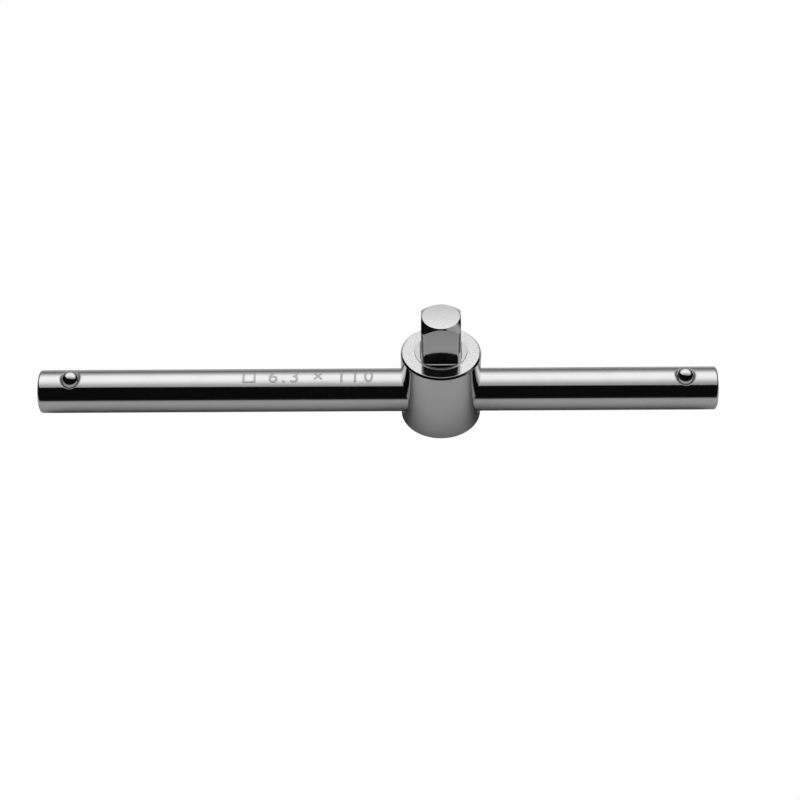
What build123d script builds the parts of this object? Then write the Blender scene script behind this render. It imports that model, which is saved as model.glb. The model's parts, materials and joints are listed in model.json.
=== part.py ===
"""Sliding T-handle for sockets: a round bar that slides and turns in a head with a square drive.

Frame: +Z up along the drive, +X along the bar towards its short side, -Y towards the reader.
The origin is the centre of the head's flat base, on the drive's axis. Sizes are in millimetres.
"""

from build123d import *
from math import asin, cos, radians, sin, sqrt, tan
import os

os.makedirs("parts", exist_ok=True)

# ---- Driving dimensions: the bar ----
bar_length = 110.0
bar_diameter = 7.0
bar_end_round = 0.5
bar_offset = -10.3  # centre of the bar along X, measured from the drive's axis, as it rests
bar_roll = 10.0  # degrees that the stop balls lean from straight up towards -Y, as it rests

# ---- Driving dimensions: the head and its square drive ----
head_diameter = 12.9
head_height = 13.2
head_rim_chamfer = 0.3
head_base_round = 0.3
bar_axis_height = 5.0
bore_mouth_round = 0.2
drive_across_flats = 6.3
drive_across_corners = 8.4
drive_length = 7.5
drive_foot_height = 0.2  # round foot left below the milled flats
drive_tip_diameter = 5.8  # flat circle at the tip, inside the turned chamfer
drive_tip_angle = 45.0  # degrees that the tip's chamfer falls away from the flat circle

# ---- Driving dimensions: the balls and their pockets ----
stop_ball_diameter = 3.175
stop_ball_inset = 5.3  # ball's axis to the nearer end of the bar
stop_ball_stands_out = 1.1
stop_pocket_depth = 5.0  # from the bar's crown to the pocket's flat floor
stop_groove_depth = 0.15
drive_ball_diameter = 2.38
drive_ball_from_tip = 3.6
drive_ball_stands_out = 0.5
drive_pocket_depth = 4.8  # from the drive's flat to the pocket's flat floor
drive_groove_depth = 0.2
stake_lip_wall = 0.08  # metal that is staked over the edge of each ball
stake_groove_width = 0.16

# ---- Driving dimensions: springs and grip ring ----
spring_wire = 0.3
stop_spring_turns = 6
drive_spring_turns = 5
grip_ring_wire = 0.6
grip_ring_opening = 36.0  # degrees of the ring that are open at its split

# ---- Clearances, on the radius or at one end ----
bar_in_bore = 0.05
ball_in_pocket = 0.02
spring_in_pocket = 0.08
spring_end_gap = 0.03
ring_on_bar = 0.03
ring_in_groove = 0.05

# ---- Values that follow from the driving dimensions ----
bar_radius = bar_diameter / 2
head_radius = head_diameter / 2
bore_radius = bar_radius + bar_in_bore
drive_tip_height = head_height + drive_length
flat_distance = drive_across_flats / 2
drive_radius = drive_across_corners / 2
stop_direction = Vector(0, -sin(radians(bar_roll)), cos(radians(bar_roll)))
drive_ball_direction = Vector(0, 1, 0)
bar_axis = Axis((0, 0, bar_axis_height), (1, 0, 0))
stop_origins = {
    "left": Vector(bar_offset - bar_length / 2 + stop_ball_inset, 0, bar_axis_height),
    "right": Vector(bar_offset + bar_length / 2 - stop_ball_inset, 0, bar_axis_height),
}
drive_ball_origin = Vector(0, 0, drive_tip_height - drive_ball_from_tip)
stop_ball_height = bar_radius + stop_ball_stands_out - stop_ball_diameter / 2
drive_ball_height = flat_distance + drive_ball_stands_out - drive_ball_diameter / 2


def save(piece, name):
    """Label a finished piece and write it as its own STEP file."""
    piece.part.label = name
    export_step(piece.part, f"parts/{name}.step")


def pocket_section(origin, direction, surface, ball_diameter, ball_height, depth, groove_depth):
    """Half section of what is cut away for one ball: its pocket and the staking groove.

    The sketch's X runs along the bar and its Y along the ball's axis, from the given origin.
    The pocket is a plain drilled hole up to the ball's widest circle. Above it the wall
    follows the ball and closes in, so that the staked lip keeps the ball from falling out.
    """
    pocket_radius = ball_diameter / 2 + ball_in_pocket
    pocket_floor = surface - depth
    lip_rise = (surface - ball_height) * 0.9
    lip_angle = asin(lip_rise / pocket_radius)
    lip_radius = pocket_radius * cos(lip_angle)
    lip_middle = (pocket_radius * cos(lip_angle / 2), ball_height + pocket_radius * sin(lip_angle / 2))
    above = surface + ball_diameter / 2
    groove_inner = pocket_radius + stake_lip_wall
    groove_outer = groove_inner + stake_groove_width
    groove_floor = surface - groove_depth
    groove_bevel = stake_groove_width / 3
    section_plane = Plane(origin=origin, x_dir=(1, 0, 0), z_dir=Vector(1, 0, 0).cross(direction))
    with BuildSketch(section_plane) as section:
        with BuildLine():
            Polyline((lip_radius, above), (0, above), (0, pocket_floor), (pocket_radius, pocket_floor))
            Line((pocket_radius, pocket_floor), (pocket_radius, ball_height))
            ThreePointArc((pocket_radius, ball_height), lip_middle, (lip_radius, ball_height + lip_rise))
            Line((lip_radius, ball_height + lip_rise), (lip_radius, above))
        make_face()
        with BuildLine():
            Polyline(
                (groove_inner, above),
                (groove_inner, groove_floor),
                (groove_outer - groove_bevel, groove_floor),
                (groove_outer, groove_floor + groove_bevel),
                (groove_outer, above),
                close=True,
            )
        make_face()
    return section.sketch


def stop_pocket_section(side):
    """The pocket of a stop ball, measured from the bar's axis to the bar's crown."""
    return pocket_section(
        stop_origins[side],
        stop_direction,
        bar_radius,
        stop_ball_diameter,
        stop_ball_height,
        stop_pocket_depth,
        stop_groove_depth,
    )


def coil_line(origin, direction, pocket_floor, ball_height, ball_diameter, turns):
    """Centre line of a coil spring that stands on a pocket's floor and carries its ball."""
    coil_radius = ball_diameter / 2 + ball_in_pocket - spring_in_pocket - spring_wire / 2
    coil_start = pocket_floor + spring_end_gap + spring_wire / 2
    # the last turn meets the ball's round underside at the height where wire and ball just clear
    wire_to_centre = ball_diameter / 2 + spring_end_gap + spring_wire / 2
    coil_end = ball_height - sqrt(wire_to_centre**2 - coil_radius**2)
    with BuildLine() as coil:
        Helix(
            pitch=(coil_end - coil_start) / turns,
            height=coil_end - coil_start,
            radius=coil_radius,
            center=origin + direction * coil_start,
            direction=direction,
        )
    return coil.line


# ---- Drive head: a turned body with the square drive in one piece with it ----
with BuildPart() as drive_head:
    with BuildSketch(Plane.XZ) as head_section:
        Rectangle(head_radius, head_height, align=(Align.MIN, Align.MIN))
        chamfer(head_section.vertices().group_by(Axis.X)[-1].sort_by(Axis.Y)[-1], head_rim_chamfer)
        fillet(head_section.vertices().group_by(Axis.X)[-1].sort_by(Axis.Y)[0], head_base_round)
        Rectangle(drive_radius, drive_tip_height, align=(Align.MIN, Align.MIN))
    revolve(axis=Axis.Z)
    # four flats, milled down to the round foot
    with BuildSketch(Plane.XY.offset(head_height + drive_foot_height)):
        Circle(head_radius)
        Rectangle(drive_across_flats, drive_across_flats, mode=Mode.SUBTRACT)
    extrude(amount=drive_length, mode=Mode.SUBTRACT)
    # turned chamfer at the tip: everything outside a cone is cut away
    tip_fall = (head_radius - drive_tip_diameter / 2) * tan(radians(drive_tip_angle))
    with BuildSketch(Plane.XZ):
        with BuildLine():
            Polyline(
                (drive_tip_diameter / 2, drive_tip_height),
                (head_radius, drive_tip_height - tip_fall),
                (head_radius, drive_tip_height),
                close=True,
            )
        make_face()
    revolve(axis=Axis.Z, mode=Mode.SUBTRACT)
    # cross bore for the bar, with its mouths rounded over
    with BuildSketch(Plane.YZ):
        with Locations((0, bar_axis_height)):
            Circle(bore_radius)
    extrude(amount=head_diameter, both=True, mode=Mode.SUBTRACT)
    bore_mouths = drive_head.edges(Select.LAST).filter_by(GeomType.LINE, reverse=True)
    fillet(bore_mouths, bore_mouth_round)
    # groove in the middle of the bore for the grip ring
    groove_radius = bar_radius + ring_on_bar + grip_ring_wire + ring_in_groove
    with BuildSketch(Plane.XZ):
        with Locations((0, bar_axis_height)):
            Rectangle(grip_ring_wire + 2 * ring_in_groove, groove_radius, align=(Align.CENTER, Align.MIN))
    revolve(axis=bar_axis, mode=Mode.SUBTRACT)
    # pocket for the drive ball, in the flat that faces away
    drive_pocket = pocket_section(
        drive_ball_origin,
        drive_ball_direction,
        flat_distance,
        drive_ball_diameter,
        drive_ball_height,
        drive_pocket_depth,
        drive_groove_depth,
    )
    revolve(drive_pocket, axis=Axis(drive_ball_origin, drive_ball_direction), mode=Mode.SUBTRACT)
save(drive_head, "drive_head")

# ---- Sliding bar: round stock with rounded ends and a ball pocket near each end ----
with BuildPart() as sliding_bar:
    with BuildSketch(Plane.YZ.offset(bar_offset - bar_length / 2)):
        with Locations((0, bar_axis_height)):
            Circle(bar_radius)
    extrude(amount=bar_length)
    fillet(sliding_bar.edges().filter_by(GeomType.CIRCLE), bar_end_round)
    for side in ("left", "right"):
        pocket_axis = Axis(stop_origins[side], stop_direction)
        revolve(stop_pocket_section(side), axis=pocket_axis, mode=Mode.SUBTRACT)
save(sliding_bar, "sliding_bar")

# ---- Grip ring: a split ring of round wire that sits in the bore's groove and holds the bar ----
ring_centre_radius = bar_radius + ring_on_bar + grip_ring_wire / 2
with BuildPart() as grip_ring:
    with BuildSketch(Plane.XZ):
        with Locations((0, bar_axis_height + ring_centre_radius)):
            Circle(grip_ring_wire / 2)
    revolve(axis=bar_axis, revolution_arc=360 - grip_ring_opening)
save(grip_ring, "grip_ring")

# ---- Stop balls: one near each end of the bar, each with a spring under it ----
for side in ("left", "right"):
    with BuildPart() as stop_ball:
        with Locations(stop_origins[side] + stop_direction * stop_ball_height):
            Sphere(stop_ball_diameter / 2)
    save(stop_ball, f"{side}_stop_ball")

for side in ("left", "right"):
    stop_coil = coil_line(
        stop_origins[side],
        stop_direction,
        bar_radius - stop_pocket_depth,
        stop_ball_height,
        stop_ball_diameter,
        stop_spring_turns,
    )
    with BuildPart() as stop_spring:
        with BuildSketch(Plane(origin=stop_coil @ 0, z_dir=stop_coil % 0)):
            Circle(spring_wire / 2)
        sweep(path=stop_coil, is_frenet=True)
    save(stop_spring, f"{side}_stop_spring")

# ---- Drive ball: keeps a socket on the square drive ----
with BuildPart() as drive_ball:
    with Locations(drive_ball_origin + drive_ball_direction * drive_ball_height):
        Sphere(drive_ball_diameter / 2)
save(drive_ball, "drive_ball")

drive_coil = coil_line(
    drive_ball_origin,
    drive_ball_direction,
    flat_distance - drive_pocket_depth,
    drive_ball_height,
    drive_ball_diameter,
    drive_spring_turns,
)
with BuildPart() as drive_ball_spring:
    with BuildSketch(Plane(origin=drive_coil @ 0, z_dir=drive_coil % 0)):
        Circle(spring_wire / 2)
    sweep(path=drive_coil, is_frenet=True)
save(drive_ball_spring, "drive_ball_spring")
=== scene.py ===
# %% [markdown]
# # A chromed sliding T-handle
#
# The tool is a round bar that slides through a short cylindrical head, and the head ends in
# a square drive for sockets. The engineering model is loaded first and stays fixed. It says
# where everything is and how it moves. What this script adds is the finish: bright surfaces
# whose curves are fine enough to mirror a studio without facets, soft edges, and metal
# that has been polished, plated and handled.

# %% Load the engineering model as a fixed frame
import json
import math

import bmesh
import bpy
import numpy as np
from mathutils import Matrix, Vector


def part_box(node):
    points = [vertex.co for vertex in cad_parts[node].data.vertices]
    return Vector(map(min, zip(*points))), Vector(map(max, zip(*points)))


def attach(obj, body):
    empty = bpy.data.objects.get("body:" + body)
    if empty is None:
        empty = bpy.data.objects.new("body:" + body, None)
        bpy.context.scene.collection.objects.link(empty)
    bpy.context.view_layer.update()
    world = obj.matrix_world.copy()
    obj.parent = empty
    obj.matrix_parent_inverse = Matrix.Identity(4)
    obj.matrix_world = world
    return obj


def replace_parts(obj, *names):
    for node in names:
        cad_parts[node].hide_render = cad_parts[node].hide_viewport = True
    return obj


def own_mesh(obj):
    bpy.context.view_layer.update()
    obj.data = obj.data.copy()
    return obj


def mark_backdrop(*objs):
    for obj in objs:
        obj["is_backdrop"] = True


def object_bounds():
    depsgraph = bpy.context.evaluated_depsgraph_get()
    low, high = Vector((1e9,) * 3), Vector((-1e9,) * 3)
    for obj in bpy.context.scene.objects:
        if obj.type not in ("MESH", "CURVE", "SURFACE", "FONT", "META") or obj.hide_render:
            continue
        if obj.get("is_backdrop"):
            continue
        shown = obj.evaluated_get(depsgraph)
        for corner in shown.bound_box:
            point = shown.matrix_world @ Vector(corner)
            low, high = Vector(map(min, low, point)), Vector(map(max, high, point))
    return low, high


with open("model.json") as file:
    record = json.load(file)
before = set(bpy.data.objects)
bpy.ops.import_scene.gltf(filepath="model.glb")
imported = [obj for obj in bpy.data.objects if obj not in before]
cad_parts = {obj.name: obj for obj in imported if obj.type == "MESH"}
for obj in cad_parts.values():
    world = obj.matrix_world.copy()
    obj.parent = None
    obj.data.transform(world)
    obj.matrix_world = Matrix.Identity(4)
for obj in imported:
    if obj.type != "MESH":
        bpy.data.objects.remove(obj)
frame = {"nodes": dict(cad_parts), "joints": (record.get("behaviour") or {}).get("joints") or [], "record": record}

cad_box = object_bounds()
print("nodes:", sorted(frame["nodes"]))

# %% [markdown]
# ## Sizes
#
# Every place and size below is read from the boxes of the loaded nodes or from the record's
# mounts and joints, so the new surfaces land exactly on the engineering model. Only details
# that a box can't tell, such as how far an edge is rounded, are written here, in millimetres.

# %% Read the sizes from the frame
MM = 0.001
mounts = {mount["name"]: mount for mount in frame["record"]["mounts"]}
joints = {joint["name"]: joint for joint in frame["joints"]}


def node_box(node):
    """Lowest and highest corner of a node as two numpy points."""
    low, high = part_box(node)
    return np.array(low), np.array(high)


def node_centre(node):
    low, high = node_box(node)
    return (low + high) / 2


def node_width(node):
    low, high = node_box(node)
    return high[0] - low[0]


bar_low, bar_high = node_box("sliding_bar")
head_low, head_high = node_box("drive_head")
bar_radius = (bar_high[1] - bar_low[1]) / 2
bar_axis_height = joints["bar_turn"]["pos_m"][2]
head_radius = (head_high[0] - head_low[0]) / 2
drive_tip_height = head_high[2]
shoulder_height = mounts["drive_shoulder"]["pos_m"][2]
drive_half_width = mounts["drive_flat_right"]["pos_m"][0]
stop_ball_radius = node_width("left_stop_ball") / 2
drive_ball_radius = node_width("drive_ball") / 2
print("bar radius", bar_radius, "axis height", bar_axis_height, "head radius", head_radius)
print("shoulder", shoulder_height, "tip", drive_tip_height, "half flat", drive_half_width)

# %% Details that the boxes don't tell
bar_end_round = 0.5 * MM
head_rim_chamfer = 0.3 * MM
head_base_round = 0.3 * MM
bore_clearance = 0.05 * MM
bore_mouth_round = 0.2 * MM
ring_groove_depth = 0.63 * MM
ring_groove_width = 0.7 * MM
drive_corner_radius = 4.12 * MM
drive_foot_radius = 4.2 * MM
drive_foot_height = 0.2 * MM
drive_tip_radius = 2.97 * MM
drive_tip_slope = math.tan(math.radians(42))
drive_root_round = 0.3 * MM
tip_crown = 0.06 * MM
soft_edge = 0.04 * MM
fine_edge = 0.03 * MM
rim_edge = 0.1 * MM
foot_fillet = 0.06 * MM
groove_edge = 0.05 * MM
plain_round_groove = 0.14 * MM
plain_round_mouth = 0.35 * MM
plain_below_rim = 0.9 * MM
ring_opening_degrees = 36
pocket_clearance = 0.02 * MM
spring_clearance = 0.08 * MM
spring_gap = 0.03 * MM
spring_wire = 0.3 * MM
stake_lip_wall = 0.05 * MM
stake_groove_width = 0.11 * MM
stop_pocket_depth = 5.0 * MM
stop_groove_depth = 0.08 * MM
drive_pocket_depth = 4.8 * MM
drive_groove_depth = 0.1 * MM

# %% [markdown]
# ## Soft edges on any surface
#
# A mirror finish shows every flaw of a mesh. Two things keep it clean. First, no edge is
# perfectly sharp: a plated edge always has a small round that catches a thin line of light.
# Second, the shading of a flat face must not bend towards its neighbour, so a spare ring of
# points sits just beside every round and stops the bend there.
#
# A surface is therefore described by a few closed rings of points, all with the same number
# of points, and one function puts the rounds in. It works for a turned shape, for a square
# drive and for a pocket alike, because it only looks along the strings of points that join
# ring to ring.


# %% A helper that rounds a chain of rings
def unit(vectors):
    """Vectors of length one, and their lengths. A vector without length stays nought."""
    length = np.linalg.norm(vectors, axis=-1, keepdims=True)
    return vectors / np.maximum(length, 1e-12), length


def rounded(rings, radii, steps=5):
    """Rings with the chain's corners replaced by circular arcs of the given radii.

    An arc of radius r leaves the incoming side at r divided by the tangent of half the
    corner's inside angle, and joins the outgoing side as far beyond it. It is drawn as a
    rational Bezier curve: with the sine of half the inside angle as its middle weight, the
    curve is a true circle. A spare ring stands beyond each end of the arc.
    """
    out = []
    for k, (ring, radius) in enumerate(zip(rings, radii)):
        if radius == 0:
            out.append(ring)
            continue
        to_before, room_before = unit(rings[k - 1] - ring)
        to_after, room_after = unit(rings[k + 1] - ring)
        cosine = np.sum(to_before * to_after, axis=1, keepdims=True)
        half_inside = np.arccos(np.clip(cosine, -1, 1)) / 2
        reach = radius / np.maximum(np.tan(half_inside), 1e-6)
        reach = np.minimum(reach, 0.45 * np.minimum(room_before, room_after))
        start = ring + to_before * reach
        end = ring + to_after * reach
        weight = np.sin(half_inside)
        out.append(ring + to_before * np.minimum(reach + 0.5 * radius, 0.48 * room_before))
        for t in np.linspace(0, 1, steps + 1):
            total = (1 - t) ** 2 + 2 * t * (1 - t) * weight + t**2
            out.append(((1 - t) ** 2 * start + 2 * t * (1 - t) * weight * ring + t**2 * end) / total)
        out.append(ring + to_after * np.minimum(reach + 0.5 * radius, 0.48 * room_after))
    return np.array(out)


# %% Helpers that join rings into faces and faces into a closed mesh
def ring_faces(ring_count, point_count, keep=None):
    """Quads between neighbouring closed rings, as rows of four point numbers.

    keep is an optional mask with one row per gap between rings and one column per point: a
    False cell is left open, for a hole that another surface fills.
    """
    k, j = np.meshgrid(np.arange(ring_count - 1), np.arange(point_count), indexing="ij")
    after = (j + 1) % point_count
    corners = [k * point_count + j, k * point_count + after, (k + 1) * point_count + after]
    quads = np.stack(corners + [(k + 1) * point_count + j], axis=-1)
    return quads.reshape(-1, 4) if keep is None else quads[keep]


MERGE_DISTANCE = 0.0005 * MM


def closed_piece(name, patches):
    """One object from patches of (rings, quads). Shared rims are merged and faces turned outwards."""
    flat_patches = [rings.reshape(-1, 3) for rings, _ in patches]
    points = np.concatenate(flat_patches)
    starts = np.cumsum([0] + [len(patch) for patch in flat_patches[:-1]])
    quads = np.concatenate([quads + start for (_, quads), start in zip(patches, starts)])
    mesh = bpy.data.meshes.new(name)
    mesh.from_pydata(points.tolist(), [], quads.tolist())
    work = bmesh.new()
    work.from_mesh(mesh)
    bmesh.ops.remove_doubles(work, verts=work.verts, dist=MERGE_DISTANCE)
    bmesh.ops.recalc_face_normals(work, faces=work.faces)
    open_edges = sum(1 for edge in work.edges if not edge.is_manifold)
    volume = work.calc_volume(signed=True)
    if volume < 0:
        bmesh.ops.reverse_faces(work, faces=work.faces)
    work.to_mesh(mesh)
    work.free()
    mesh.polygons.foreach_set("use_smooth", np.ones(len(mesh.polygons), dtype=bool))
    mesh.update()
    piece = bpy.data.objects.new(name, mesh)
    bpy.context.scene.collection.objects.link(piece)
    print(f"{name}: {len(mesh.vertices)} points, open edges {open_edges}, {abs(volume) * 1e9:.1f} mm3")
    return piece


# %% [markdown]
# ## Ball pockets
#
# Each ball sits in a drilled pocket, and a ring punch has pushed the metal at the pocket's edge
# in over the ball. The punch leaves a narrow groove with a thin lip inside it. Seen along
# the ball's axis, lip, groove and pocket are circles, but the bar's surface around them is
# curved. So each ring is a circle whose height is read either from the curved surface or
# from a flat floor below it.
#
# A rectangular window is left open in the surface around the pocket. The first rings turn
# that rectangle into a circle while they stay on the surface, and the very first ring has
# the same points as the window's rim, so the two surfaces close without a seam.


# %% Helpers that fill a window with a ball pocket
def window_rim(across, along):
    """Index pairs round the rim of a window of across times along cells."""
    a, b = np.arange(across), np.arange(along)
    sides = [
        np.stack([a, 0 * a], axis=1),
        np.stack([0 * b + across, b], axis=1),
        np.stack([across - a, 0 * a + along], axis=1),
        np.stack([0 * b, along - b], axis=1),
    ]
    return np.concatenate(sides)


def rim_to_circle(rim_u, rim_v, radius, surface, steps=6):
    """Rings (u, v, height) that turn a window's rim into a circle, all on the surface."""
    turn = np.arctan2(rim_v, rim_u)
    t = np.linspace(0, 1, steps + 1)[:-1, None]
    u = (1 - t) * rim_u + t * radius * np.cos(turn)
    v = (1 - t) * rim_v + t * radius * np.sin(turn)
    return np.stack([u, v, surface(v)], axis=-1), turn


def pocket_rings(rim_u, rim_v, surface, ball_radius, ball_height, floor_height, groove_depth):
    """Rings (u, v, height) from a window's rim, over groove and lip, down to the pocket's floor.

    The lip follows the ball: at height h above the ball's centre its radius is the square
    root of the pocket's radius squared less h squared.
    """
    pocket_radius = ball_radius + pocket_clearance
    groove_inner = pocket_radius + stake_lip_wall
    groove_outer = groove_inner + stake_groove_width
    plain = groove_outer + plain_round_groove
    morph, turn = rim_to_circle(rim_u, rim_v, plain, surface)
    highest_lip = ball_height + 0.9 * (surface(0 * turn) - ball_height)
    lip_top = np.minimum(surface(pocket_radius * np.sin(turn)), highest_lip)
    lip_radius = np.sqrt(pocket_radius**2 - (lip_top - ball_height) ** 2)
    half_top = (lip_top - ball_height) / 2
    half_radius = np.sqrt(pocket_radius**2 - half_top**2)

    def circle(radius, height=None, below=0.0):
        u, v = radius * np.cos(turn), radius * np.sin(turn)
        return np.stack([u, v, surface(v) - below if height is None else height + 0 * turn], axis=1)

    chain = [
        circle(plain),
        circle(groove_outer),
        circle(groove_outer - stake_groove_width / 3, below=groove_depth),
        circle(groove_inner, below=groove_depth),
        circle(groove_inner),
        circle(lip_radius),
        circle(half_radius, ball_height + half_top),
        circle(pocket_radius, ball_height),
        circle(pocket_radius, floor_height),
        circle(0.0, floor_height),
    ]
    radii = [0, groove_edge] + [fine_edge] * 4 + [0, 0, fine_edge, 0]
    return np.concatenate([morph, rounded(chain, radii, steps=3)])


def place(rings, origin, u_axis, v_axis, up_axis):
    """Rings (u, v, height) as points in space, on three directions from an origin."""
    return origin + rings @ np.array([u_axis, v_axis, up_axis], dtype=float)


# %% [markdown]
# ## The bar
#
# The bar is round stock: a flat end face, a rounded edge and a long plain cylinder. It is
# built as a lathe shape whose rings run from one end's centre to the other's. The points of
# every ring are counted from the direction of the stop balls, so that both windows for
# their pockets lie on whole cells.

# %% Where the stop balls are and which way they face
outward, _ = unit(-np.array(joints["left_ball_press"]["axis"], dtype=float))
along = np.array([1.0, 0.0, 0.0])
sideways = np.cross(outward, along)
axis_point = np.array([0.0, 0.0, bar_axis_height])
stop_x = {side: node_centre(f"{side}_stop_ball")[0] for side in ("left", "right")}
stop_height = float((node_centre("left_stop_ball") - axis_point) @ outward)
print("stop balls at", stop_x, "facing", outward.round(4), "height", round(stop_height / MM, 3), "mm")

# %% Rings of the bar, from the middle of one end to the middle of the other
BAR_POINTS = 256
HALF_COLUMNS = 26
WINDOW_ROWS = 24
window_half = 2.3 * MM
turns = np.arange(BAR_POINTS) * 2 * np.pi / BAR_POINTS


def bar_ring(x, radius=bar_radius):
    """A ring round the bar's axis, whose first point lies on the stop balls' side."""
    radial = np.cos(turns)[:, None] * outward + np.sin(turns)[:, None] * sideways
    return axis_point + along * x + radial * radius


window_steps = np.linspace(-window_half, window_half, WINDOW_ROWS + 1)
left_stations = stop_x["left"] + window_steps
right_stations = stop_x["right"] + window_steps
before = np.linspace(bar_low[0] + 2 * bar_end_round, left_stations[0], 8)
after = np.linspace(right_stations[-1], bar_high[0] - 2 * bar_end_round, 8)
middle = np.linspace(left_stations[-1], right_stations[0], 90)
stations = np.concatenate([before[1:-1], left_stations, middle[1:-1], right_stations, after[1:-1]])
shares = [0.0, 0.35, 0.7, 1.0]
left_face = [bar_ring(bar_low[0], bar_radius * share) for share in shares]
right_face = [bar_ring(bar_high[0], bar_radius * share) for share in reversed(shares)]
end_radii = [0, 0, 0, bar_end_round, 0]
left_end = rounded(left_face + [bar_ring(before[0])], end_radii, steps=12)
right_end = rounded([bar_ring(after[-1])] + right_face, end_radii[::-1], steps=12)
bar_rings = np.concatenate([left_end, [bar_ring(x) for x in stations], right_end])
print("bar rings", bar_rings.shape)


# %% Cut the two windows and line them with pockets
def bar_surface(v):
    """Height of the cylinder above its axis, at distance v to the side."""
    return np.sqrt(bar_radius**2 - v**2)


cell_x = (bar_rings[:-1, 0, 0] + bar_rings[1:, 0, 0]) / 2
column = np.arange(BAR_POINTS)
in_columns = (column < HALF_COLUMNS) | (column >= BAR_POINTS - HALF_COLUMNS)
in_rows = (abs(cell_x - stop_x["left"]) < window_half) | (abs(cell_x - stop_x["right"]) < window_half)
solid = ~(in_rows[:, None] & in_columns[None, :])
bar_patches = [(bar_rings, ring_faces(len(bar_rings), BAR_POINTS, keep=solid))]
rim = window_rim(WINDOW_ROWS, 2 * HALF_COLUMNS)
rim_u = window_steps[rim[:, 0]]
rim_v = bar_radius * np.sin((rim[:, 1] - HALF_COLUMNS) * 2 * np.pi / BAR_POINTS)
pocket_floor = bar_radius - stop_pocket_depth
stop_pocket = pocket_rings(
    rim_u, rim_v, bar_surface, stop_ball_radius, stop_height, pocket_floor, stop_groove_depth
)
for x in stop_x.values():
    placed = place(stop_pocket, axis_point + along * x, along, sideways, outward)
    bar_patches.append((placed, ring_faces(len(placed), len(rim))))
bar = closed_piece("bar_chromed", bar_patches)

# %% [markdown]
# ## The head and its square drive
#
# The head is turned too, but its top is milled square. One outline serves the whole piece:
# the square with its corners turned off and each edge slightly round. The headings of
# that outline's points are used for every ring below it as well, so circle, foot, square and
# chamfer all have the same number of points and join without twisting. The chamfer at the
# tip is a cone, which is why its lower edge waves: high in the middle of a flat, low
# at the corners.

# %% The outline of the square drive
FLAT_POINTS = 41
EDGE_STEPS = 5
edge_round = 0.12 * MM
flat_half = math.sqrt(drive_corner_radius**2 - drive_half_width**2)
corner_angle = math.atan2(flat_half, drive_half_width)


def drive_outline():
    """Closed outline of the drive, counter-clockwise from the lower end of the +X flat.

    Each quarter is a flat, a small round, an arc of the turned corner and a round again. The
    second half of a corner is the first one mirrored in the diagonal.
    """
    margin = 1.6 * edge_round
    spread = np.linspace(margin - flat_half, flat_half - margin, FLAT_POINTS)
    flat = np.stack([0 * spread + drive_half_width, spread], axis=1)
    edge = np.array([drive_half_width, flat_half])
    end_angle = corner_angle + edge_round / drive_corner_radius
    start = edge - [0, edge_round]
    end = drive_corner_radius * np.array([math.cos(end_angle), math.sin(end_angle)])
    t = np.linspace(0, 1, EDGE_STEPS + 1)[:, None]
    weight = math.cos(corner_angle / 2)
    total = (1 - t) ** 2 + 2 * t * (1 - t) * weight + t**2
    into_corner = ((1 - t) ** 2 * start + 2 * t * (1 - t) * weight * edge + t**2 * end) / total
    angles = np.linspace(end_angle, math.pi / 2 - end_angle, 7)[1:-1]
    arc = drive_corner_radius * np.stack([np.cos(angles), np.sin(angles)], axis=1)
    quarter = np.concatenate([flat, into_corner, arc, into_corner[::-1, ::-1]])
    turned = [quarter, quarter[:, ::-1] * [-1, 1], -quarter, quarter[:, ::-1] * [1, -1]]
    return np.concatenate(turned)


outline = drive_outline()
outline_radius = np.linalg.norm(outline, axis=1)
headings = np.arctan2(outline[:, 1], outline[:, 0])
HEAD_POINTS = len(outline)
QUARTER = HEAD_POINTS // 4
print("outline of", HEAD_POINTS, "points, corner at", round(math.degrees(corner_angle), 2), "degrees")


# %% Rings of the head, from the middle of its base to the middle of the tip
def head_ring(radius, height):
    """A ring at the outline's headings. Radius and height may differ from point to point."""
    circle = np.stack([radius * np.cos(headings), radius * np.sin(headings)], axis=1)
    return np.concatenate([circle, np.broadcast_to(height, HEAD_POINTS)[:, None]], axis=1)


WALL_CELLS = 36
BALL_CELLS = 20
bore_radius = bar_radius + bore_clearance
mouth_half = 4.1 * MM
wall_rows = np.linspace(bar_axis_height - mouth_half, bar_axis_height + mouth_half, WALL_CELLS + 1)
drive_ball_centre = node_centre("drive_ball")
ball_half = 2.0 * MM
ball_rows = drive_ball_centre[2] + np.linspace(-ball_half, ball_half, BALL_CELLS + 1)
foot_top = shoulder_height + drive_foot_height
chamfer_foot = drive_tip_height - tip_crown - (outline_radius - drive_tip_radius) * drive_tip_slope

base_chain = [head_ring(head_radius * share, 0.0) for share in (0.0, 0.5, 0.85, 1.0)]
base = rounded(base_chain + [head_ring(head_radius, wall_rows[0])], [0, 0, 0, head_base_round, 0], steps=8)
wall = [head_ring(head_radius, z) for z in wall_rows[1:]]
collar_top = shoulder_height - plain_below_rim
collar = [head_ring(head_radius, z) for z in np.linspace(wall_rows[-1], collar_top, 8)[1:-1]]
top_chain = [
    head_ring(head_radius, collar_top),
    head_ring(head_radius, shoulder_height - head_rim_chamfer),
    head_ring(head_radius - head_rim_chamfer, shoulder_height),
    head_ring(drive_foot_radius, shoulder_height),
    head_ring(drive_foot_radius, foot_top),
    head_ring(outline_radius, foot_top),
    head_ring(outline_radius, ball_rows[0]),
]
top_radii = [0, rim_edge, rim_edge, foot_fillet, soft_edge, drive_root_round, 0]
top = rounded(top_chain, top_radii, steps=8)
flats = [head_ring(outline_radius, z) for z in ball_rows[1:]]
tip_chain = [head_ring(outline_radius, ball_rows[-1] + 0.1 * MM), head_ring(outline_radius, chamfer_foot)]
tip_chain += [
    head_ring(drive_tip_radius * share, drive_tip_height - tip_crown * share**2)
    for share in (1.0, 0.9, 0.75, 0.6, 0.45, 0.3, 0.15, 0.0)
]
tip = rounded(tip_chain, [0, soft_edge, soft_edge] + [0] * 7)
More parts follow.
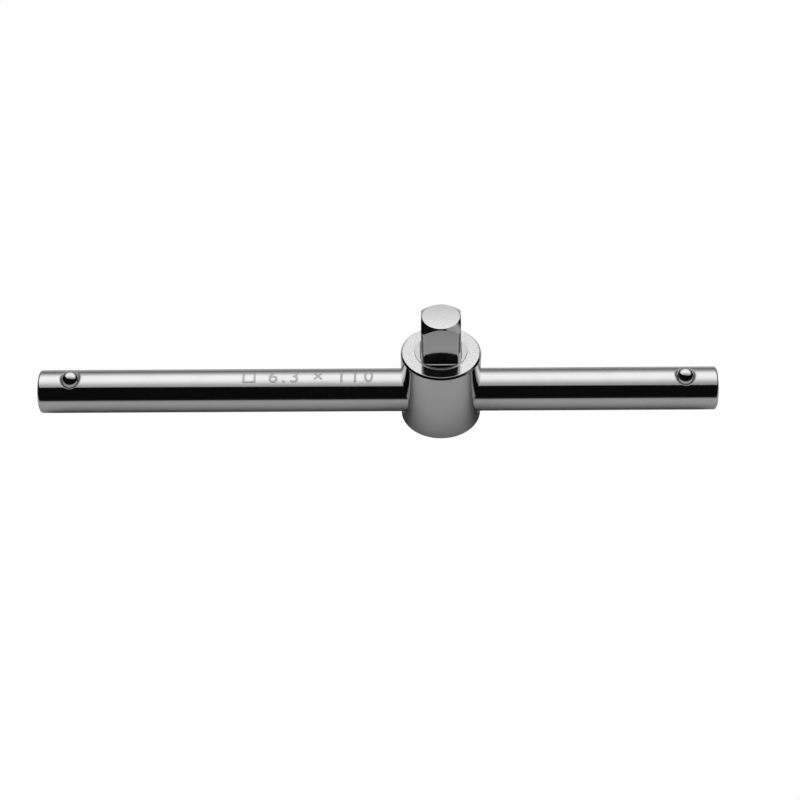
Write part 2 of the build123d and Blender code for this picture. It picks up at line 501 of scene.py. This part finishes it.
head_rings = np.concatenate([base, wall, collar, top, flats, tip])
print("head rings", head_rings.shape)

# %% [markdown]
# ## The cross bore
#
# The bore crosses the cylinder, so its mouth is a saddle-shaped curve with a small round.
# Two windows in the head's wall are joined by one skin. It starts at the rim of the
# right-hand window, turns from a rectangle into a circle on the head's surface, goes round the
# mouth, along the bore and through the grip ring's groove, and leaves by the other mouth in
# the same way. The drive ball's pocket is opened in the flat that faces away.


# %% Cut the windows and line them with the bore and the pocket
def head_surface(v):
    """Distance of the head's wall from the plane through its axis, at distance v to the side."""
    return np.sqrt(head_radius**2 - v**2)


def drive_surface(v):
    """The drive's flat is a plane."""
    return drive_half_width + 0 * v


cell_z = (head_rings[:-1, 0, 2] + head_rings[1:, 0, 2]) / 2
column = np.arange(HEAD_POINTS)
mouth_columns = FLAT_POINTS - 1
mouth_cells = (column % (2 * QUARTER)) < mouth_columns
mouth_rows = (cell_z > wall_rows[0]) & (cell_z < wall_rows[-1])
BALL_COLUMNS = 32
ball_first = QUARTER + (FLAT_POINTS - 1 - BALL_COLUMNS) // 2
ball_cells = (column >= ball_first) & (column < ball_first + BALL_COLUMNS)
pocket_rows = (cell_z > ball_rows[0]) & (cell_z < ball_rows[-1])
solid = ~(mouth_rows[:, None] & mouth_cells[None, :]) & ~(pocket_rows[:, None] & ball_cells[None, :])
head_patches = [(head_rings, ring_faces(len(head_rings), HEAD_POINTS, keep=solid))]

rim = window_rim(WALL_CELLS, mouth_columns)
rim_u = wall_rows[rim[:, 0]] - bar_axis_height
rim_v = head_radius * np.sin(headings[rim[:, 1]])
mouth, turn = rim_to_circle(rim_u, rim_v, bore_radius + plain_round_mouth, head_surface)


def bore_circle(radius, distance=None):
    """A circle round the bore's axis, on the head's wall or at a distance from the middle."""
    u, v = radius * np.cos(turn), radius * np.sin(turn)
    return np.stack([u, v, head_surface(v) if distance is None else distance + 0 * turn], axis=1)


mirror = np.array([1, 1, -1])
groove_radius = bore_radius + ring_groove_depth
half_bore = [
    bore_circle(bore_radius + plain_round_mouth),
    bore_circle(bore_radius),
    bore_circle(bore_radius, ring_groove_width / 2),
    bore_circle(groove_radius, ring_groove_width / 2),
]
bore_chain = half_bore + [ring * mirror for ring in reversed(half_bore)]
bore_radii = [0, bore_mouth_round] + [fine_edge] * 4 + [bore_mouth_round, 0]
bore = np.concatenate([mouth, rounded(bore_chain, bore_radii, steps=6), mouth[::-1] * mirror])
placed = place(bore, axis_point, [0, 0, 1], [0, 1, 0], [1, 0, 0])
head_patches.append((placed, ring_faces(len(placed), len(rim))))

rim = window_rim(BALL_CELLS, BALL_COLUMNS)
rim_u = ball_rows[rim[:, 0]] - drive_ball_centre[2]
rim_v = outline[ball_first + rim[:, 1], 0]
drive_pocket = pocket_rings(
    rim_u,
    rim_v,
    drive_surface,
    drive_ball_radius,
    drive_ball_centre[1],
    drive_half_width - drive_pocket_depth,
    drive_groove_depth,
)
placed = place(drive_pocket, [0, 0, drive_ball_centre[2]], [0, 0, 1], [1, 0, 0], [0, 1, 0])
head_patches.append((placed, ring_faces(len(placed), len(rim))))
head = closed_piece("head_chromed", head_patches)

# %% [markdown]
# ## Balls, springs and the grip ring
#
# A ball is a half circle turned round its own axis. Springs and the grip ring are round wire
# carried along a line: at every point of the line a small circle is drawn across it, on one
# direction that points away from the coil's axis and one that follows the coil's axis. These
# parts are nearly hidden, but they are there when the tool is taken apart.


# %% Polished balls
LATITUDES = 65
LONGITUDES = 96


def ball(name, node):
    """A sphere turned round the outward direction, with finer rings than its size needs."""
    centre = node_centre(node)
    radius = node_width(node) / 2
    latitude = np.linspace(0, np.pi, LATITUDES)[:, None, None]
    longitude = (np.arange(LONGITUDES) * 2 * np.pi / LONGITUDES)[None, :, None]
    side = np.cos(longitude) * along + np.sin(longitude) * sideways
    rings = centre + radius * (np.cos(latitude) * outward + np.sin(latitude) * side)
    piece = closed_piece(name, [(rings, ring_faces(LATITUDES, LONGITUDES))])
    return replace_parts(piece, node)


left_ball = ball("stop_ball_left_polished", "left_stop_ball")
right_ball = ball("stop_ball_right_polished", "right_stop_ball")
drive_ball = ball("drive_ball_polished", "drive_ball")


# %% Round wire along a line
def wire(name, line, away, across, radius, sides=20):
    """A closed round wire. line, away and across have one row per point of the line."""
    angle = np.arange(sides) * 2 * np.pi / sides
    cosine, sine = np.cos(angle)[None, :, None], np.sin(angle)[None, :, None]
    tube = line[:, None, :] + radius * (cosine * away[:, None, :] + sine * across[:, None, :])
    first, last = line[0] + 0 * tube[:1], line[-1] + 0 * tube[:1]
    rings = np.concatenate([first, tube, last])
    return closed_piece(name, [(rings, ring_faces(len(rings), sides))])


def spring(name, node, origin, direction, floor_height, ball_radius, ball_height, turn_count):
    """A coil that stands on a pocket's floor and carries its ball, and where it begins and ends.

    Its last turn touches the ball's underside. Wire and ball are there as far apart as their two
    radii and a small gap, which gives the height from the coil's own radius.
    """
    wire_radius = spring_wire / 2
    coil_radius = ball_radius + pocket_clearance - spring_clearance - wire_radius
    low = floor_height + spring_gap + wire_radius
    high = ball_height - math.sqrt((ball_radius + spring_gap + wire_radius) ** 2 - coil_radius**2)
    other = np.cross(direction, along)
    angle = np.linspace(0, 2 * np.pi * turn_count, 40 * turn_count + 1)[:, None]
    away = np.cos(angle) * along + np.sin(angle) * other
    line = origin + direction * (low + (high - low) * angle / angle[-1]) + coil_radius * away
    piece = wire(name, line, away, direction + 0 * away, wire_radius, sides=14)
    foot = origin + direction * (low - wire_radius)
    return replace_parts(piece, node), foot, high - low + spring_wire


stop_springs = {
    side: spring(
        f"stop_spring_{side}_wire",
        f"{side}_stop_spring",
        axis_point + along * x,
        outward,
        pocket_floor,
        stop_ball_radius,
        stop_height,
        6,
    )
    for side, x in stop_x.items()
}
drive_spring = spring(
    "drive_spring_wire",
    "drive_ball_spring",
    np.array([0, 0, drive_ball_centre[2]]),
    np.array([0.0, 1.0, 0.0]),
    drive_half_width - drive_pocket_depth,
    drive_ball_radius,
    drive_ball_centre[1],
    5,
)

# %% The grip ring in the middle of the bore
ring_low, ring_high = node_box("grip_ring")
ring_wire = (ring_high[0] - ring_low[0]) / 2
ring_radius = (ring_high[2] - bar_axis_height) - ring_wire
opening = math.radians(ring_opening_degrees)
angle = np.linspace(0, 2 * np.pi - opening, 181)[:, None]
away = -np.sin(angle) * np.array([0, 1.0, 0]) + np.cos(angle) * np.array([0, 0, 1.0])
grip_ring = wire("grip_ring_wire", axis_point + ring_radius * away, away, along + 0 * away, ring_wire)
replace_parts(grip_ring, "grip_ring")
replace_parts(bar, "sliding_bar")
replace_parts(head, "drive_head")

# %% [markdown]
# ## The size mark
#
# Tools of this kind carry a small mark on the bar. Here it gives only the size of the
# square and the length of the bar, behind a little square outline. It is a shallow etching,
# so it is made as a very thin layer that follows the bar: the letters are turned into a
# flat mesh, cut into narrow strips so they can bend, and wrapped round the bar's axis.


# %% Flat letters and a flat outline
def flat_mesh(curve):
    """The mesh of a filled curve. The carrier object is only there to have it worked out."""
    carrier = bpy.data.objects.new("mark_curve", curve)
    bpy.context.scene.collection.objects.link(carrier)
    shown = carrier.evaluated_get(bpy.context.evaluated_depsgraph_get())
    mesh = bpy.data.meshes.new_from_object(shown)
    bpy.data.objects.remove(carrier)
    return mesh


MARK_THICKNESS = 0.02 * MM
CAPITAL_SHARE = 0.73  # height of a figure over the size of the type
letter_height = 2.35 * MM
letters_middle, letters_lean = -19.4 * MM, 6.5
square_middle, square_lean = -31.0 * MM, 9.5
square_halves = (1.02 * MM, 0.78 * MM)
MARK_EDGE = 0.04 * MM


def thin_layer(curve):
    """Fills a curve and makes it as thin as an etching, with soft edges."""
    curve.fill_mode = "BOTH"
    curve.extrude = MARK_THICKNESS / 2
    curve.bevel_depth = MARK_EDGE
    curve.bevel_resolution = 2


letters = bpy.data.curves.new("mark_letters", "FONT")
letters.body = "6.3 × 110"
letters.align_x = "CENTER"
letters.size = letter_height / CAPITAL_SHARE
letters.space_character = 1.36
letters.resolution_u = 6
thin_layer(letters)

outline_curve = bpy.data.curves.new("mark_outline", "CURVE")
outline_curve.dimensions = "2D"
thin_layer(outline_curve)
for half in square_halves:
    spline = outline_curve.splines.new("POLY")
    spline.points.add(3)
    corners = half * np.array([[1, 1], [-1, 1], [-1, -1], [1, -1]])
    flat = np.concatenate([corners, np.zeros((4, 1)), np.ones((4, 1))], axis=1)
    spline.points.foreach_set("co", flat.ravel())
    spline.use_cyclic_u = True


# %% Wrap both round the bar
def etched(name, curve, middle_x, lean, lift):
    """A flat curve wrapped on the bar as a thin layer.

    The curve's x runs along the bar. Its y, raised by lift, becomes an angle: y over the bar's
    radius, measured from lean degrees off the top. Its thickness becomes a distance from the
    bar's axis.
    """
    mesh = flat_mesh(curve)
    work = bmesh.new()
    work.from_mesh(mesh)
    bmesh.ops.remove_doubles(work, verts=work.verts, dist=MERGE_DISTANCE / 4)
    for height in np.arange(-3.0, 3.0, 0.1) * MM:
        parts = list(work.verts) + list(work.edges) + list(work.faces)
        bmesh.ops.bisect_plane(work, geom=parts, plane_co=(0, height, 0), plane_no=(0, 1, 0), dist=1e-9)
    bmesh.ops.recalc_face_normals(work, faces=work.faces)
    work.to_mesh(mesh)
    work.free()
    flat = np.empty(len(mesh.vertices) * 3)
    mesh.vertices.foreach_get("co", flat)
    flat = flat.reshape(-1, 3)
    angle = math.radians(lean) - (flat[:, 1] + lift) / bar_radius
    radius = bar_radius + flat[:, 2] - MARK_THICKNESS
    wrapped = np.stack(
        [middle_x + flat[:, 0], -radius * np.sin(angle), bar_axis_height + radius * np.cos(angle)], axis=1
    )
    mesh.vertices.foreach_set("co", wrapped.ravel())
    mesh.update()
    piece = bpy.data.objects.new(name, mesh)
    bpy.context.scene.collection.objects.link(piece)
    print(f"{name}: {len(mesh.vertices)} points, {np.ptp(wrapped[:, 0]) / MM:.2f} mm long")
    return piece


mark_letters = etched("size_mark_letters", letters, letters_middle, letters_lean, -letter_height / 2)
mark_outline = etched("size_mark_outline", outline_curve, square_middle, square_lean, 0.0)

# %% [markdown]
# ## Writing materials as sums
#
# A material is a network of small nodes. Written node by node it is hard to read, so one
# class stands for a value that flows through the network and turns plus, minus and times into
# the node that does it. Any other node is added with one call that sets its options first
# and then its inputs, which are numbers or other flows.


# %% A value that flows through a material, and a material being made
class Flow:
    """The output of one shader node. Arithmetic on it adds Math nodes to the same material."""

    def __init__(self, finish, socket):
        self.finish = finish
        self.socket = socket

    def math(self, operation, *others):
        return self.finish.node("ShaderNodeMath", {"operation": operation}, dict(enumerate((self, *others))))

    def __add__(self, other):
        return self.math("ADD", other)

    def __radd__(self, other):
        return self.math("ADD", other)

    def __sub__(self, other):
        return self.math("SUBTRACT", other)

    def __rsub__(self, other):
        return self.finish.node("ShaderNodeMath", {"operation": "SUBTRACT"}, {0: other, 1: self})

    def __mul__(self, other):
        return self.math("MULTIPLY", other)

    def __pow__(self, other):
        return self.math("POWER", other)

    def __abs__(self):
        return self.math("ABSOLUTE")


class Finish:
    """A material being made: its node tree, and short ways to add to it."""

    def __init__(self, name):
        self.material = bpy.data.materials.new(name)
        self.material.use_nodes = True
        self.tree = self.material.node_tree
        self.tree.nodes.clear()
        place_node = self.node("ShaderNodeTexCoord", output="Object")
        self.place = self.node(
            "ShaderNodeVectorMath", {"operation": "SCALE"}, {"Vector": place_node, "Scale": 1 / MM}
        )
        split = self.tree.nodes.new("ShaderNodeSeparateXYZ")
        self.tree.links.new(self.place.socket, split.inputs[0])
        self.x, self.y, self.z = (Flow(self, socket) for socket in split.outputs)

    def node(self, kind, settings=None, inputs=None, output=0):
        """Adds a node: its options first, then its inputs by name or number."""
        made = self.tree.nodes.new(kind)
        for key, value in (settings or {}).items():
            setattr(made, key, value)
        for key, value in (inputs or {}).items():
            if isinstance(value, Flow):
                self.tree.links.new(value.socket, made.inputs[key])
            else:
                made.inputs[key].default_value = value
        return Flow(self, made.outputs[output]) if len(made.outputs) else None

    def vector(self, x, y, z):
        return self.node("ShaderNodeCombineXYZ", None, {0: x, 1: y, 2: z})

    def noise(self, where, scale, detail=3.0, roughness=0.5):
        """Soft random values about one half. Scale is in waves per millimetre."""
        inputs = {"Vector": where, "Scale": scale, "Detail": detail, "Roughness": roughness}
        return self.node("ShaderNodeTexNoise", {"noise_dimensions": "3D"}, inputs)

    def span(self, value, low, high, new_low=0.0, new_high=1.0):
        """Value mapped smoothly from low..high to new_low..new_high, and held at both ends."""
        inputs = {"Value": value, "From Min": low, "From Max": high, "To Min": new_low, "To Max": new_high}
        return self.node("ShaderNodeMapRange", {"interpolation_type": "SMOOTHSTEP"}, inputs)

    def blend(self, share, first, second):
        """A colour between two colours."""
        return self.node("ShaderNodeMix", {"data_type": "RGBA"}, {0: share, 6: first, 7: second}, output=2)

    def bump(self, height, distance):
        """A normal tilted by the height's slope, as if the height were in units of distance."""
        return self.node("ShaderNodeBump", None, {"Height": height, "Distance": distance, "Strength": 1.0})

    def glow(self, colour):
        """A surface that gives off light of this colour."""
        return self.node("ShaderNodeEmission", None, {"Color": colour, "Strength": 1.0})

    def matt(self, colour):
        """A surface that scatters light evenly."""
        return self.node("ShaderNodeBsdfDiffuse", None, {"Color": colour, "Roughness": 0.0})

    def metal(self, colour, roughness, normal):
        """Ends the material in a metal surface and returns the finished material."""
        inputs = {"Base Color": colour, "Roughness": roughness, "Normal": normal, "Metallic": 1.0}
        shader = self.node("ShaderNodeBsdfPrincipled", None, inputs)
        self.node("ShaderNodeOutputMaterial", None, {"Surface": shader})
        return self.material


def grey(level, warmth=0.0):
    """A grey colour. Warmth moves a share of it from blue to red."""
    return (level * (1 + warmth), level, level * (1 - warmth), 1.0)


# %% [markdown]
# ## Bright plated finishes
#
# Chrome plate over polished steel is nearly a perfect mirror. What tells it from a computer's
# mirror is small: lines left by the polishing wheel, faint handling smears that are a little
# less sharp, hairline scratches, and a very slight waviness of the steel under the plate.
# Each of these is one noise, drawn out in the direction in which the real trace runs.


# %% Marks that every handled bright surface has
def scratches(finish, scale, stretch, width):
    """Hairlines: the thin places where a drawn-out noise passes through its middle value."""
    x, y, z = stretch
    where = finish.vector(finish.x * x + finish.y * 0.31, finish.y * y, finish.z * z + finish.x * 0.17)
    ridge = abs(finish.noise(where, scale, detail=1.0) - 0.5)
    presence = finish.span(finish.noise(finish.place, 0.35, detail=2.0), 0.52, 0.66)
    return finish.span(ridge, 0.0, width, 1.0, 0.0) * presence


def specks(finish, per_millimetre, radius, share):
    """Tiny pits: small discs round the cells of a cell pattern, kept in only a share of the cells."""
    inputs = {"Vector": finish.place, "Scale": per_millimetre}
    distance = finish.node("ShaderNodeTexVoronoi", None, inputs, output="Distance")
    chance = finish.node("ShaderNodeTexVoronoi", None, inputs, output="Color")
    picked = finish.node("ShaderNodeMath", {"operation": "LESS_THAN"}, {0: chance, 1: share})
    return finish.span(distance, 0.4 * radius, radius, 1.0, 0.0) * picked


def bright_metal(name, level, lines_along, base_roughness, line_depth, faced=None, painted_shade=None):
    """Polished plate. lines_along stretches the polishing lines, as (x, y, z) waves per millimetre.

    The two optional functions give, for this finish, the share of a surface that was faced in a
    lathe and the share that gets painted shade. On faced metal the cutter's rings show through
    the plate and it is less sharp. The painted shade is a dark colour that stands in for the
    shade and dark reflections at a recess, and the metal is made duller there too.
    """
    finish = Finish(name)
    x, y, z = lines_along
    drawn = finish.vector(finish.x * x, finish.y * y, finish.z * z)
    lines = finish.noise(drawn, 1.0, detail=4.0, roughness=0.6)
    smear = finish.span(finish.noise(finish.place, 0.22, detail=4.0), 0.42, 0.7)
    haze = finish.noise(finish.place, 1.7, detail=3.0)
    hairlines = scratches(finish, 0.9, (0.6, 3.0, 3.0), 0.006)
    pits = specks(finish, 2.2, 0.09, 0.12)
    roughness = base_roughness + smear * 0.035 + haze * 0.02 + lines * 0.015 + hairlines * 0.12 + pits * 0.2
    dulled = smear * 0.4 + pits * 0.6
    colour = finish.blend(dulled, grey(level, 0.001), grey(level * 0.93, 0.004))
    wave = finish.noise(finish.place, 0.12, detail=1.0)
    height = lines * line_depth + wave * 0.6 - hairlines * 0.25 - pits * 0.5
    if faced:
        share = faced(finish)
        from_axis = (finish.x * finish.x + finish.y * finish.y) ** 0.5
        rings = finish.noise(finish.vector(from_axis * 9.0, 0.0, 0.0), 1.0, detail=3.0)
        mottle = finish.noise(finish.place, 3.2, detail=4.0, roughness=0.7)
        roughness = roughness + share * (0.01 + mottle * 0.1)
        height = height + share * (rings * 2.0 + mottle * 13.0)
        grain = finish.span(mottle, 0.36, 0.62)
        colour = finish.blend(share, colour, finish.blend(grain, grey(level * 1.04), grey(level * 1.26)))
    # Painted shade: where the last function's share is one, the colour turns dark to stand in for shade and dark
    # reflections, and the metal turns duller.
    if painted_shade:
        share = painted_shade(finish)
        roughness = roughness + share * 0.22
        colour = finish.blend(share, colour, grey(0.13, 0.02))
    normal = finish.bump(height, 0.001 * MM)
    return finish.metal(colour, roughness, normal)


def faced_shares(finish):
    """One on the flat shoulder, a half on the finer tip of the drive, nought elsewhere."""
    off_shoulder = abs(finish.z - shoulder_height / MM)
    shoulder = finish.span(off_shoulder, 0.01, 0.05, 1.0, 0.0)
    tip_low = (drive_tip_height - tip_crown) / MM
    return shoulder + finish.span(finish.z, tip_low - 0.05, tip_low, 0.0, 0.5)


def round_the_balls(finish):
    """One on the lip round each stop ball, where a dark ring of shade is painted, fading out
    unevenly towards the plain bar.

    Both balls are equally far from the point midway between them, so the distance from that
    point less half their spacing measures along the bar from either ball.
    """
    midway = (stop_x["left"] + stop_x["right"]) / 2 / MM
    half_spacing = (stop_x["right"] - stop_x["left"]) / 2 / MM
    u = abs(finish.x - midway) - half_spacing
    from_axis = finish.z - bar_axis_height / MM
    v = finish.y * sideways[1] + from_axis * sideways[2]
    outwards = finish.y * outward[1] + from_axis * outward[2]
    distance = (u * u + v * v) ** 0.5 - finish.noise(finish.place, 2.4, detail=3.0) * 0.16
    return finish.span(distance, 1.5, 1.64, 1.0, 0.0) * finish.span(outwards, 0.0, 1.0)


PLATE_LEVEL = 0.62
bar_lines = (0.12, 7.0, 7.0)
# The bar's finish gets a dark ring of painted shade on the lip round each stop ball.
bar_finish = bright_metal("chromed_bar_finish", PLATE_LEVEL, bar_lines, 0.045, 0.22, painted_shade=round_the_balls)
head_finish = bright_metal("chromed_head_finish", PLATE_LEVEL, (0.7, 0.7, 9.0), 0.05, 0.2, faced=faced_shares)
ball_finish = bright_metal("polished_ball_finish", PLATE_LEVEL, (1.5, 1.5, 1.5), 0.03, 0.05)


# %% Drawn spring wire and the etched mark
def spring_finish():
    """Drawn wire: long fine lines, oily dark patches and a soft sheen."""
    finish = Finish("drawn_wire_finish")
    grain = finish.noise(finish.place, 14.0, detail=4.0)
    patches = finish.span(finish.noise(finish.place, 1.2, detail=3.0), 0.4, 0.65)
    colour = finish.blend(patches, grey(0.46, 0.01), grey(0.33, 0.03))
    return finish.metal(colour, 0.24 + grain * 0.12 + patches * 0.08, finish.bump(grain, 0.002 * MM))


def mark_finish():
    """Etched plate: frosted by fine close pits, so it scatters the light and looks paler."""
    finish = Finish("etched_mark_finish")
    frost = finish.noise(finish.place, 16.0, detail=3.0)
    cloud = finish.noise(finish.place, 0.8, detail=3.0)
    colour = finish.blend(cloud, grey(0.52), grey(0.42))
    return finish.metal(colour, 0.42 + frost * 0.16, finish.bump(frost, 0.004 * MM))


wire_material = spring_finish()
mark_material = mark_finish()


# %% Give every piece its finish and its body
def finished(piece, material, body):
    piece.data.materials.clear()
    piece.data.materials.append(material)
    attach(piece, body)


finished(bar, bar_finish, "bar")
finished(head, head_finish, "head")
for piece, body in ((left_ball, "left_ball"), (right_ball, "right_ball"), (drive_ball, "socket_ball")):
    finished(piece, ball_finish, body)
wires = [(made[0], "bar") for made in stop_springs.values()]
wires += [(drive_spring[0], "head"), (grip_ring, "ring")]
for piece, body in wires:
    finished(piece, wire_material, body)
for piece in (mark_letters, mark_outline):
    finished(piece, mark_material, "bar")
for node in frame["nodes"].values():
    material = {"drive_head": head_finish, "sliding_bar": bar_finish}.get(node.name, wire_material)
    node.data.materials.clear()
    node.data.materials.append(ball_finish if "ball" in node.name and "spring" not in node.name else material)

# %% [markdown]
# ## How far the springs would shorten
#
# When a ball is pressed in, its spring gets shorter from the top down, and its foot stays
# on the pocket's floor. The share that is left is the spring's length after the travel over
# its length before it. Here it is only worked out and printed: the springs are not changed.

# %% Work out how far the springs would shorten
def follow(made, joint_name):
    """The share of a spring's length that its ball's travel leaves, printed. The spring gets its own mesh, which
    is not changed.
    """
    piece, foot, length = made
    keep = 1 - joints[joint_name]["range_m"][1] / length
    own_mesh(piece)
    print(f"{piece.name}: {length / MM:.2f} mm long, keeps {keep:.2f}")


follow(stop_springs["left"], "left_ball_press")
follow(stop_springs["right"], "right_ball_press")
follow(drive_spring, "drive_ball_press")

# %% [markdown]
# ## The studio
#
# Chrome shows its surroundings and nothing else, so the light is really a picture that is
# drawn for it to reflect. One wide soft panel hangs overhead. It is brightest a little behind
# the tool and dimmer towards its front and back edges. In front it stops short: below that
# edge the studio is dark, and the dark shows on the bar as a crisp black band. A pale floor
# fills the lower part and darkens in front of the tool. A dim card closes the back, from the
# floor up to the panel. The camera itself sees all of them as plain white.


# %% Panels that only light and mirror
def card(name, corners, material):
    """A flat stage panel with any number of corners."""
    mesh = bpy.data.meshes.new(name)
    mesh.from_pydata(corners, [], [tuple(range(len(corners)))])
    mesh.materials.append(material)
    panel = bpy.data.objects.new(name, mesh)
    bpy.context.scene.collection.objects.link(panel)
    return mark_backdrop(panel)


def studio_material(finish, shader):
    """Ends a studio material: white wherever the camera sees it, the shader to all other rays."""
    seen = finish.node("ShaderNodeLightPath", output="Is Camera Ray")
    mixed = finish.node("ShaderNodeMixShader", None, {0: seen, 1: shader, 2: finish.glow(grey(1.0))})
    finish.node("ShaderNodeOutputMaterial", None, {"Surface": mixed})
    return finish.material


BACK_CARD_LEVEL = 0.24
PALE_FLOOR, DARK_FLOOR = 0.8, 0.02
FLOOR_DARKENS = (14.0, 54.0)
MIRRORED_WORLD_LEVEL = 0.005
FRONT_LEVEL, FULL_LEVEL, BACK_LEVEL = 0.45, 1.4, 0.33
RISE_DEGREES = (62.0, 108.0)
FALL_DEGREES = (122.0, 162.0)
SIDE_FADE = (0.35, 2.4)


def panel_light():
    """Light that rises from the panel's front edge to full, and falls again towards its back.

    It depends on the angle at which the tool sees the panel: the arc tangent of height over
    distance in front, so 90 degrees is straight overhead and larger angles lie behind the
    tool. Towards both sides the light fades out, over the distances in metres named above.
    """
    finish = Finish("panel_light")
    angle = finish.node("ShaderNodeMath", {"operation": "ARCTAN2"}, {0: finish.z, 1: 0 - finish.y})
    degrees = angle * (180 / math.pi)
    rise = finish.span(degrees, *RISE_DEGREES, FRONT_LEVEL, FULL_LEVEL)
    fall = finish.span(degrees, *FALL_DEGREES, 0.0, FULL_LEVEL - BACK_LEVEL)
    middle = finish.span(abs(finish.x * MM), *SIDE_FADE, 1.0, 0.0)
    return studio_material(finish, finish.glow((rise - fall) * middle))


def card_light(name, level):
    """The same dim or bright light from every place on a card."""
    finish = Finish(name)
    return studio_material(finish, finish.glow(grey(level)))


def floor_finish():
    """A pale matt floor that darkens in front of the tool, over the millimetres named above."""
    finish = Finish("studio_floor")
    pale = finish.matt(grey(PALE_FLOOR))
    dark = finish.matt(grey(DARK_FLOOR))
    in_front = finish.span(0 - finish.y, *FLOOR_DARKENS)
    return studio_material(finish, finish.node("ShaderNodeMixShader", None, {0: in_front, 1: pale, 2: dark}))


PANEL_BACK_DEGREES = 16  # how far above the horizon the tool sees the panel's back edge
panel_height = 1.0
panel_back = panel_height / math.tan(math.radians(PANEL_BACK_DEGREES))
front_edge = [(-2.4, 1.9), (-0.7, -0.39), (-0.35, -0.455), (0.35, -0.62), (1.0, -0.60), (2.4, 0.1)]
panel_outline = front_edge + [(2.4, panel_back), (-2.4, panel_back)]
card("overhead_panel", [(x, y, panel_height) for x, y in panel_outline], panel_light())

reach = 6.0
back_outline = [(-reach, 0), (reach, 0), (reach, panel_height), (-reach, panel_height)]
back_corners = [(x, panel_back, z) for x, z in back_outline]
card("back_card", back_corners, card_light("dim_card", BACK_CARD_LEVEL))

floor_reach, floor_level = 4.0, -0.0001
turned_corners = ((-1, -1), (1, -1), (1, 1), (-1, 1))
floor_corners = [(x * floor_reach, y * floor_reach, floor_level) for x, y in turned_corners]
card("studio_floor_plane", floor_corners, floor_finish())

# %% Surroundings: white behind the tool, dark to everything that mirrors
world = bpy.data.worlds.new("studio_world")
bpy.context.scene.world = world
world.use_nodes = True
nodes, links = world.node_tree.nodes, world.node_tree.links
nodes.clear()
seen = nodes.new("ShaderNodeLightPath")
backdrop = nodes.new("ShaderNodeBackground")
output = nodes.new("ShaderNodeOutputWorld")
backdrop.inputs["Color"].default_value = (1, 1, 1, 1)
strength = nodes.new("ShaderNodeMapRange")
strength.inputs["To Min"].default_value = MIRRORED_WORLD_LEVEL
links.new(seen.outputs["Is Camera Ray"], strength.inputs["Value"])
links.new(strength.outputs[0], backdrop.inputs["Strength"])
links.new(backdrop.outputs[0], output.inputs["Surface"])
bpy.context.scene.view_settings.view_transform = "Standard"

# %% [markdown]
# ## The camera
#
# The view is from above and in front, a little to the right of the head, with a long lens
# so that the bar stays nearly parallel. The camera is turned slightly about its own line of
# sight, which is why the bar doesn't lie quite level in the picture.

# %% Place the camera
distance = 314.288 * MM
elevation, azimuth, roll = 43.176, 1.132, -1.092
focal_length, sensor_width = 86.378, 36.0
aim = np.array([-6.682, 0.0, 2.688]) * MM
e, a, r = (math.radians(degrees) for degrees in (elevation, azimuth, roll))
back = np.array([math.sin(a) * math.cos(e), -math.cos(a) * math.cos(e), math.sin(e)])
level_right = np.array([math.cos(a), math.sin(a), 0.0])
level_up = np.cross(back, level_right)
right = math.cos(r) * level_right + math.sin(r) * level_up
up = -math.sin(r) * level_right + math.cos(r) * level_up
position = aim + back * distance
lens = bpy.data.cameras.new("long_lens")
lens.lens = focal_length
lens.sensor_width = sensor_width
lens.clip_start = 0.01
lens.clip_end = 20.0
camera = bpy.data.objects.new("camera", lens)
bpy.context.scene.collection.objects.link(camera)
rows = np.eye(4)
rows[:3, 0], rows[:3, 1], rows[:3, 2], rows[:3, 3] = right, up, back, position
camera.matrix_world = Matrix(rows.tolist())
bpy.context.scene.camera = camera
print("camera at", (position / MM).round(2), "mm")

# %% Print the box of what is shown beside the engineering model's box
final_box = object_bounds()
for corner, name in zip(cad_box, ("low", "high")):
    print(name, "engineering", [round(v / MM, 3) for v in corner])
for corner, name in zip(final_box, ("low", "high")):
    print(name, "shown      ", [round(v / MM, 3) for v in corner])
